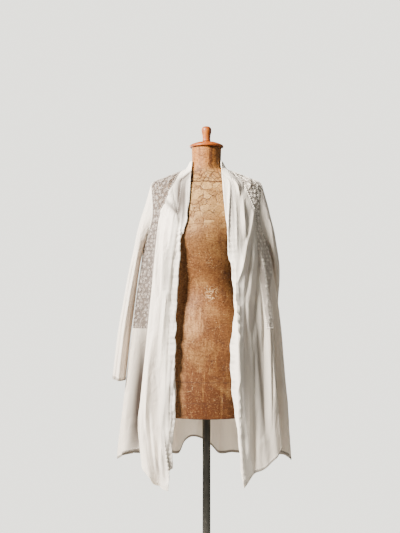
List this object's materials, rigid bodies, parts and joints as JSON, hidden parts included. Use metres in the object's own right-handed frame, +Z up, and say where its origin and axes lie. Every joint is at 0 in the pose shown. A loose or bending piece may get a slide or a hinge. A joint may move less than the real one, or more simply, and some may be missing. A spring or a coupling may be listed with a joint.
{
  "type": "haori jacket worn open on a limbless dress form and stand",
  "caption": "Long open-front haori of thin cotton voile with embroidered lace shoulders, worn on a limbless dress form on a pole with a round foot.",
  "frame": {"origin": "centre of the foot's underside, on the pole's axis, on the floor", "axes": "+Z up along the pole; -Y the way the open front faces; -X the wearer's right"},
  "size_m": [0.555, 0.3705, 1.6111],
  "materials": {
    "voile": "sheer plain-weave cotton, off-white",
    "lace": "embroidered cotton lace, off-white",
    "band": "doubled cotton, off-white",
    "form_skin": "aged and crackled, dull sheen",
    "turned_wood": "worn varnish",
    "dark_steel": "satin gunmetal",
    "dark_iron": "satin black"
  },
  "bodies": {
    "root": {"back_panel": "voile", "right_front_panel": "voile", "left_front_panel": "voile", "right_side_panel": "voile", "left_side_panel": "voile", "right_sleeve": "voile", "left_sleeve": "voile", "right_lace_yoke": "lace", "left_lace_yoke": "lace", "right_front_band": "band", "left_front_band": "band", "collar": "band", "form_body": "form_skin", "neck_cap": "turned_wood", "cap_knob": "turned_wood", "pole": "dark_steel", "foot": "dark_iron"}
  },
  "joints": []
}
